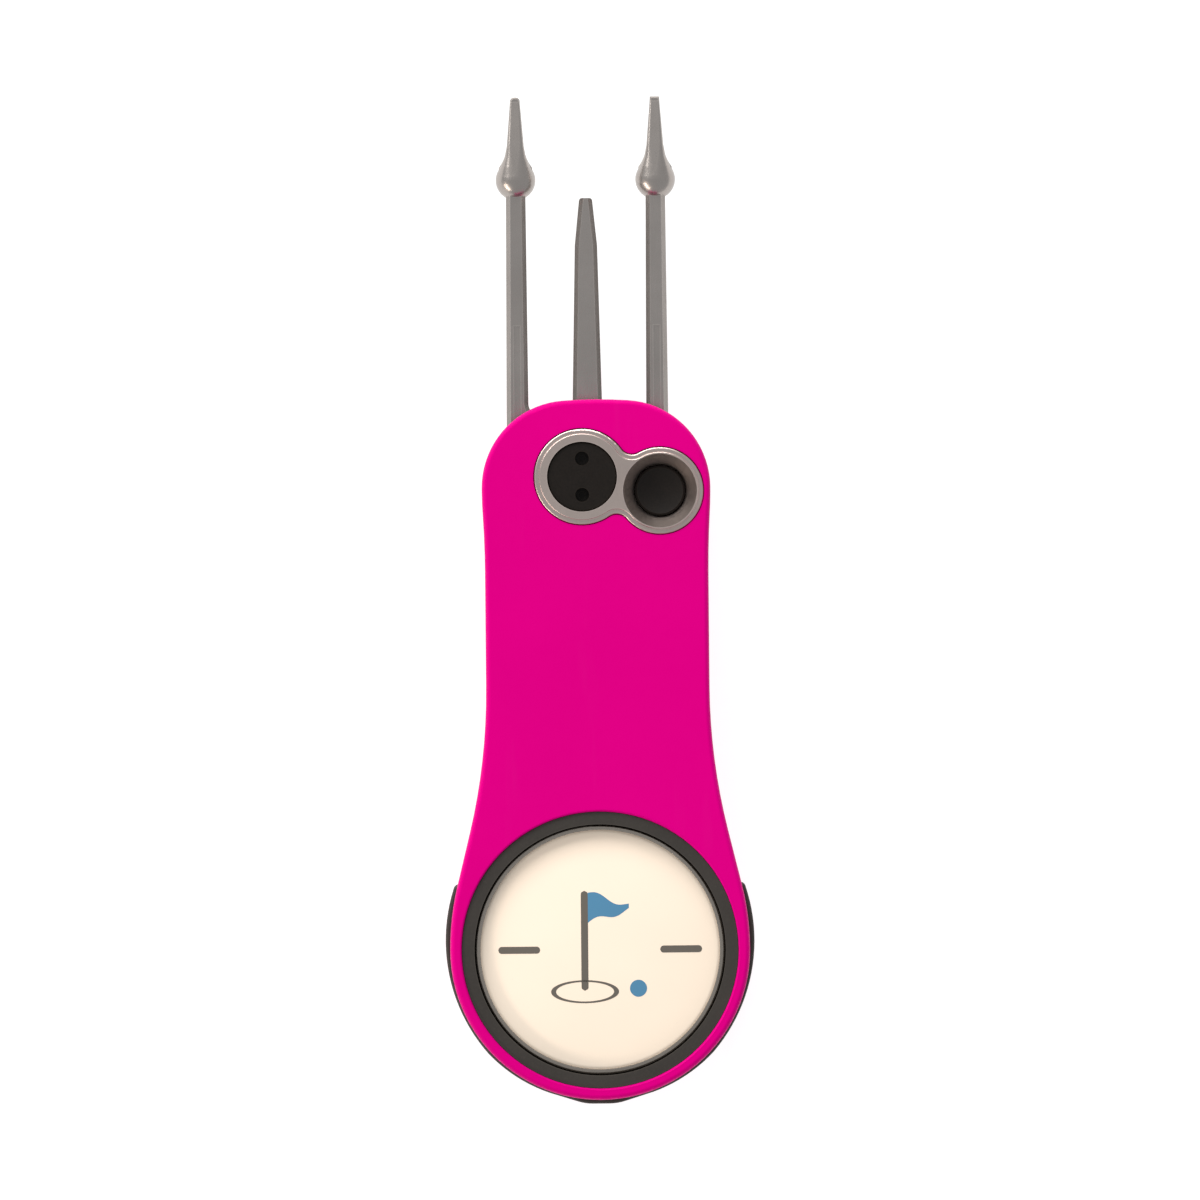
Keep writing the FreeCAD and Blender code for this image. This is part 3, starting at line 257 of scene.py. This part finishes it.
def turning_marks(tree):
    """Fine rings round the pivot's axis."""
    low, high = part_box("pivot_screw")
    place = tree.nodes.new("ShaderNodeTexCoord")
    mapping = tree.nodes.new("ShaderNodeMapping")
    mapping.inputs["Location"].default_value = tuple(-(low + high) / 2)
    rings = tree.nodes.new("ShaderNodeTexWave")
    rings.wave_type = "RINGS"
    rings.rings_direction = "Z"
    rings.inputs["Scale"].default_value = 900
    rings.inputs["Distortion"].default_value = 0.4
    tree.links.new(place.outputs["Object"], mapping.inputs["Vector"])
    tree.links.new(mapping.outputs["Vector"], rings.inputs["Vector"])
    return rings.outputs["Fac"]


def enamel_material(name, base, drift):
    """Poured enamel: glossy, with a faint pour ripple and dust-sized specks."""
    material, tree, shader = new_material(name, 0.18, 0.0, 0.5)
    shader.inputs["Coat Weight"].default_value = 0.3
    shader.inputs["Coat Roughness"].default_value = 0.08
    ripple = noise(tree, 130, 2)
    colour = mix(tree, spread(tree, ripple, 0, 1), scaled(base, 1 - drift), scaled(base, 1 + drift))
    specks = spread(tree, noise(tree, 5200, 2), 0, 0.22, 0.68, 0.8)
    colour = mix(tree, specks, colour, scaled(base, 0.75))
    set_colour(tree, shader, colour)
    set_roughness(tree, shader, spread(tree, noise(tree, 700, 4), 0.14, 0.24))
    bump(tree, shader, [(ripple, 0.02 * MM), (noise(tree, 2400, 2), 0.001 * MM)])
    return material


def rubber_material():
    """Dark moulded rubber of the stop pad."""
    material, tree, shader = new_material("stop_rubber", 0.8, 0.0, 0.3)
    base = srgb(44, 42, 42)
    grain = noise(tree, 4000, 4)
    set_colour(tree, shader, mix(tree, spread(tree, grain, 0, 1), scaled(base, 0.7), scaled(base, 1.2)))
    set_roughness(tree, shader, spread(tree, grain, 0.7, 0.9))
    bump(tree, shader, [(grain, 0.01 * MM)])
    return material


def nylon_material():
    """Natural nylon of the thrust washers: fine grain and a little translucence."""
    material, tree, shader = new_material("nylon_natural", 0.4, 0.0, 0.45)
    shader.inputs["Subsurface Weight"].default_value = 0.2
    shader.inputs["Subsurface Radius"].default_value = (0.6 * MM, 0.5 * MM, 0.4 * MM)
    base = srgb(226, 222, 206)
    grain = noise(tree, 1800, 4)
    set_colour(tree, shader, mix(tree, spread(tree, grain, 0, 1), scaled(base, 0.9), base))
    set_roughness(tree, shader, spread(tree, grain, 0.32, 0.5))
    bump(tree, shader, [(grain, 0.004 * MM)])
    return material


def dress_nodes():
    """Gives every CAD node its finish."""
    along_prongs = (8, 0.35, 8)
    even = (1, 1, 1)
    dark = moulded_material("case_nylon", srgb(48, 44, 40), 3400, 0.012 * MM, 0.5, 0.68)
    block = moulded_material("block_nylon", srgb(50, 46, 42), 2600, 0.016 * MM, 0.42, 0.6)
    steel = satin_metal("turned_steel", srgb(176, 174, 172), 0.25, 0.42, even)
    spring = satin_metal("spring_steel", srgb(158, 156, 156), 0.2, 0.34, (1, 6, 1))
    fork_metal = satin_metal("fork_gunmetal", srgb(170, 163, 158), 0.25, 0.33, along_prongs,
                             pit_depth=0.0006 * MM)
    plate = satin_metal("plate_gunmetal", srgb(190, 176, 169), 0.30, 0.44, (3, 1.4, 3), 0.3)
    finishes = {
        skin_material(): ("front_skin", "back_skin"),
        dark: ("front_case", "back_case"),
        block: ("end_block", "spine_bar"),
        plate: ("bezel_plate",),
        black_material("pivot_black", srgb(20, 15, 11), 0.45, 0.6, True): ("pivot_screw",),
        black_material("button_black", srgb(20, 15, 12), 0.5, 0.66): ("release_button",),
        steel: ("pivot_barrel", "leaf_screw", "open_stop_pin", "case_screws"),
        spring: ("flip_spring", "lock_leaf"),
        nylon_material(): ("back_thrust_washer", "front_thrust_washer"),
        fork_metal: ("fork",),
        rubber_material(): ("closed_stop_pad",),
        satin_metal("magnet_nickel", srgb(196, 192, 184), 0.12, 0.22, even): ("marker_magnet",),
        satin_metal("marker_nickel", srgb(158, 150, 141), 0.22, 0.36, (1, 4, 1)): ("marker_base",),
    }
    for material, names in finishes.items():
        for name in names:
            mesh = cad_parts[name].data
            mesh.materials.clear()
            mesh.materials.append(material)


# ---------------------------------------------------------------- springs sliced where they bend

COIL_LEG = 0.44 * MM
COIL_RISE = 1.2 * MM
COIL_CUTS = 6
LAND_REACH = 2.25 * MM
STEM_REACH = 1.6 * MM
LEAF_CUTS = 14


def bending_copy(node, name, start, end, cuts):
    """Copy of a spring, cut by even planes from start to end, that takes the place of the hidden CAD
    node.
    """
    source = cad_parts[node]
    mesh = source.data.copy()
    mesh.transform(source.matrix_world)
    step = (end - start) / cuts
    fine = bmesh.new()
    fine.from_mesh(mesh)
    for cut in range(cuts + 1):
        whole = fine.verts[:] + fine.edges[:] + fine.faces[:]
        bmesh.ops.bisect_plane(fine, geom=whole, plane_co=start + step * cut, plane_no=step)
    fine.to_mesh(mesh)
    fine.free()
    item = bpy.data.objects.new(name, mesh)
    bpy.context.scene.collection.objects.link(item)
    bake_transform(item)
    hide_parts(node)


def springs():
    """Slices the coil, which winds up as the fork folds, and the leaf, which bows as the button goes
    down, across the spans where they bend.
    """
    coil_low, coil_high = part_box("flip_spring")
    centre = (coil_low + coil_high) / 2
    wound_from = Vector((centre.x, centre.y, coil_low.z + COIL_LEG))
    wound_to = Vector((centre.x, centre.y, coil_low.z + COIL_RISE))
    bending_copy("flip_spring", "wound_flip_spring", wound_from, wound_to, COIL_CUTS)
    leaf_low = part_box("lock_leaf")[0]
    screw_low, screw_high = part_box("leaf_screw")
    button_low, button_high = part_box("release_button")
    land_edge = (screw_low.y + screw_high.y) / 2 + LAND_REACH
    stem_edge = (button_low.y + button_high.y) / 2 - STEM_REACH
    bow_from = Vector((leaf_low.x, land_edge, leaf_low.z))
    bow_to = Vector((leaf_low.x, stem_edge, leaf_low.z))
    bending_copy("lock_leaf", "bowed_lock_leaf", bow_from, bow_to, LEAF_CUTS)


# ---------------------------------------------------------------- ball marker face

FACE_CENTRE = (INSERT_LOW + INSERT_HIGH) / 2
FACE_RADIUS = (INSERT_HIGH.x - INSERT_LOW.x) / 2
FACE_EDGE_Z = INSERT_HIGH.z
FACE_CROWN = 0.45 * MM
FACE_ROLL = 0.35 * MM
FACE_ROLL_DROP = 0.09 * MM


def face_height(distance):
    """Height of the poured enamel at a distance from the marker's centre."""
    share = min(distance / FACE_RADIUS, 1.0)
    roll = max(distance - (FACE_RADIUS - FACE_ROLL), 0.0) / FACE_ROLL
    return FACE_EDGE_Z + FACE_CROWN * (1 - share ** 2) - FACE_ROLL_DROP * roll ** 2


def new_object(name, vertices, faces, material, smooth=True):
    """Object made from vertices and faces, linked to the scene."""
    mesh = bpy.data.meshes.new(name)
    mesh.from_pydata([tuple(vertex) for vertex in vertices], [], faces)
    mesh.materials.append(material)
    for polygon in mesh.polygons:
        polygon.use_smooth = smooth
    item = bpy.data.objects.new(name, mesh)
    bpy.context.scene.collection.objects.link(item)
    return item


def ring_faces(rings, around):
    """Quads between neighbouring rings of vertices."""
    faces = []
    for ring in range(rings - 1):
        for step in range(around):
            after = (step + 1) % around
            faces.append((ring * around + step, ring * around + after,
                          (ring + 1) * around + after, (ring + 1) * around + step))
    return faces


def enamel_face():
    """Crowned enamel disc, closed underneath, that fills the steel rim."""
    around = 160
    steep = 0.5
    rim_steps = [1 - 0.004 * step for step in range(9)]
    shares = [0.04, 0.12, 0.24, 0.36, 0.48, 0.6, 0.7, 0.8, 0.88, 0.94] + rim_steps[::-1]
    vertices = []
    for share in shares:
        for step in range(around):
            angle = 2 * math.pi * step / around
            reach = FACE_RADIUS * share
            vertices.append((FACE_CENTRE.x + reach * math.cos(angle),
                             FACE_CENTRE.y + reach * math.sin(angle), face_height(reach)))
    for step in range(around):
        x, y, _ = vertices[(len(shares) - 1) * around + step]
        vertices.append((x, y, INSERT_LOW.z))
    rings = len(shares) + 1
    faces = ring_faces(rings, around)
    faces.append(tuple(range(around))[::-1])
    faces.append(tuple(range((rings - 1) * around, rings * around)))
    faces = [face[::-1] for face in faces]
    cream = enamel_material("enamel_cream", srgb(250, 233, 213), 0.012)
    face = new_object("marker_enamel_face", vertices, faces, cream)
    wall = [polygon for polygon in face.data.polygons if abs(polygon.normal.z) < steep]
    base = face.data.polygons[-1]
    for polygon in wall + [base]:
        polygon.use_smooth = False
    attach(face, "marker")
    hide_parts("marker_insert")


def printed_patch(name, shape, columns, rows, material, closed=False):
    """Thin printed film on the enamel. Shape gives x and y in mm for u and v from 0 to 1.

    A closed patch runs round into its own start along u."""
    film = 0.012 * MM
    width = columns if closed else columns + 1
    top = []
    for row in range(rows + 1):
        for column in range(width):
            x, y = shape(column / columns, row / rows)
            distance = math.hypot(x, y) * MM
            top.append((FACE_CENTRE.x + x * MM, FACE_CENTRE.y + y * MM, face_height(distance) + film))
    bottom = [(x, y, z - 2 * film) for x, y, z in top]
    count = len(top)
    faces = []
    for row in range(rows):
        for column in range(columns):
            after = (column + 1) % width
            quad = (row * width + column, row * width + after,
                    (row + 1) * width + after, (row + 1) * width + column)
            faces.append(quad)
            faces.append(tuple(count + index for index in quad[::-1]))
    first_row = list(range(width))
    last_row = list(range(rows * width, count))[::-1]
    if closed:
        borders = [first_row, last_row]
    else:
        rising = [row * width + columns for row in range(1, rows)]
        falling = [row * width for row in range(rows - 1, 0, -1)]
        borders = [first_row + rising + last_row + falling]
    for border in borders:
        for start, stop in zip(border, border[1:] + border[:1]):
            faces.append((start, count + start, count + stop, stop))
    patch = new_object(name, top + bottom, faces, material, smooth=False)
    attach(patch, "marker")


def bar_shape(left, bottom, right, top):
    """Upright or level bar with rounded ends along its longer way."""
    level = right - left > top - bottom
    half = (top - bottom) / 2 if level else (right - left) / 2
    sliver = 1e-6

    def shape(u, v):
        along, across = (u, v) if level else (v, u)
        length = (right - left) if level else (top - bottom)
        place = along * length
        nearest = min(place, length - place)
        width = half
        if nearest < half:
            width = math.sqrt(max(half ** 2 - (half - nearest) ** 2, sliver))
        shift = (across - 0.5) * 2 * width
        if level:
            return left + place, (bottom + top) / 2 + shift
        return (left + right) / 2 + shift, bottom + place
    return shape


def pennant_shape(left, right, low, high):
    """Tapering flag that ripples once along its length."""
    middle = (low + high) / 2
    taper = 0.86
    sway = 0.28
    half_waves = 2.2

    def shape(u, v):
        half = (high - low) / 2 * (1 - taper * u)
        wave = sway * math.sin(half_waves * math.pi * u)
        return left + (right - left) * u, middle + wave + (v - 0.5) * 2 * half
    return shape


def oval_shape(x, y, wide, tall, band):
    """Flat oval ring that stands for the hole."""
    def shape(u, v):
        angle = 2 * math.pi * u
        inset = band * v
        across = (wide - inset) * math.cos(angle)
        along = (tall - inset * tall / wide) * math.sin(angle)
        return x + across, y + along
    return shape


def disc_shape(x, y, radius):
    """Square grid drawn out to a disc, so that it has no centre point."""
    def shape(u, v):
        across, along = 2 * u - 1, 2 * v - 1
        return (x + radius * across * math.sqrt(1 - along ** 2 / 2),
                y + radius * along * math.sqrt(1 - across ** 2 / 2))
    return shape


def marker_print():
    """Generic golf sign: a flag in its hole, a ball, and an alignment line on each side."""
    pole_left = -1.9
    pole_right = -1.2
    line_start = 6.0
    line_end = 10.2
    line_half = 0.35
    grey = enamel_material("print_grey", srgb(97, 91, 83), 0.04)
    blue = enamel_material("print_blue", srgb(74, 130, 165), 0.03)
    printed_patch("print_pole", bar_shape(pole_left, -4.1, pole_right, 5.9), 4, 60, grey)
    printed_patch("print_pennant", pennant_shape(pole_right, 2.9, 2.7, 5.7), 40, 12, blue)
    printed_patch("print_hole", oval_shape(-1.55, -4.2, 3.4, 1.15, 0.5), 96, 3, grey, closed=True)
    printed_patch("print_ball", disc_shape(3.8, -3.9, 0.85), 16, 16, blue)
    for side, place in ((-1, "left"), (1, "right")):
        left, right = sorted((side * line_start, side * line_end))
        line = bar_shape(left, -line_half, right, line_half)
        printed_patch(f"print_line_{place}", line, 60, 4, grey)


# ---------------------------------------------------------------- stage, lights, camera

def floor():
    """Pale sheet of paper just under the tool."""
    half = 1.5
    gap = 0.05 * MM
    height = CAD_LOW.z - gap
    material, tree, shader = new_material("paper", 0.9, 0.0, 0.0)
    shader.inputs["Emission Color"].default_value = (1, 1, 1, 1)
    shader.inputs["Emission Strength"].default_value = 0.86
    fibre = spread(tree, noise(tree, 900, 3), 0, 1)
    set_colour(tree, shader, mix(tree, fibre, (0.28, 0.28, 0.28, 1), (0.3, 0.3, 0.3, 1)))
    corners = [(-half, -half, height), (half, -half, height), (half, half, height), (-half, half, height)]
    sheet = new_object("paper_floor", corners, [(0, 1, 2, 3)], material, smooth=False)


def area_light(name, place, size, power, tint):
    """Rectangular light that faces the origin."""
    data = bpy.data.lights.new(name, "AREA")
    data.shape = "RECTANGLE"
    data.size, data.size_y = size
    data.energy = power
    data.color = tint
    lamp = bpy.data.objects.new(name, data)
    lamp.location = place
    lamp.rotation_mode = "QUATERNION"
    lamp.rotation_quaternion = (-Vector(place)).to_track_quat("-Z", "Y")
    bpy.context.scene.collection.objects.link(lamp)


def lights():
    """Large softbox beyond the prongs, a strip low on the left by the marker, a pale surround."""
    area_light("key_softbox", (-0.24, 0.62, 0.36), (1.0, 0.34), 8.2, (1.0, 0.98, 0.95))
    area_light("rim_strip", (-0.46, -0.34, 0.26), (0.42, 0.07), 1.4, (1.0, 0.86, 0.74))
    world = bpy.data.worlds.new("studio")
    world.use_nodes = True
    background = world.node_tree.nodes["Background"]
    background.inputs["Color"].default_value = (0.92, 0.94, 0.96, 1)
    background.inputs["Strength"].default_value = 0.6
    bpy.context.scene.world = world


def camera():
    """Looks straight down on the face, with the tool leaning half a degree to the left."""
    lens = 600.0
    sensor = 36.0
    frame_width = 120 * MM
    aside = 0.3 * MM
    lean = math.radians(-0.52)
    data = bpy.data.cameras.new("view")
    data.lens = lens
    data.sensor_width = sensor
    distance = frame_width * lens / sensor
    face_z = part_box("front_skin")[1].z
    data.clip_start = 0.1
    data.clip_end = distance * 3
    eye = bpy.data.objects.new("view", data)
    eye.location = (aside, 0.0, face_z + distance)
    eye.rotation_euler = (0, 0, lean)
    bpy.context.scene.collection.objects.link(eye)
    bpy.context.scene.camera = eye
    bpy.context.scene.view_settings.view_transform = "Standard"


dress_nodes()
springs()
enamel_face()
marker_print()
floor()
lights()
camera()
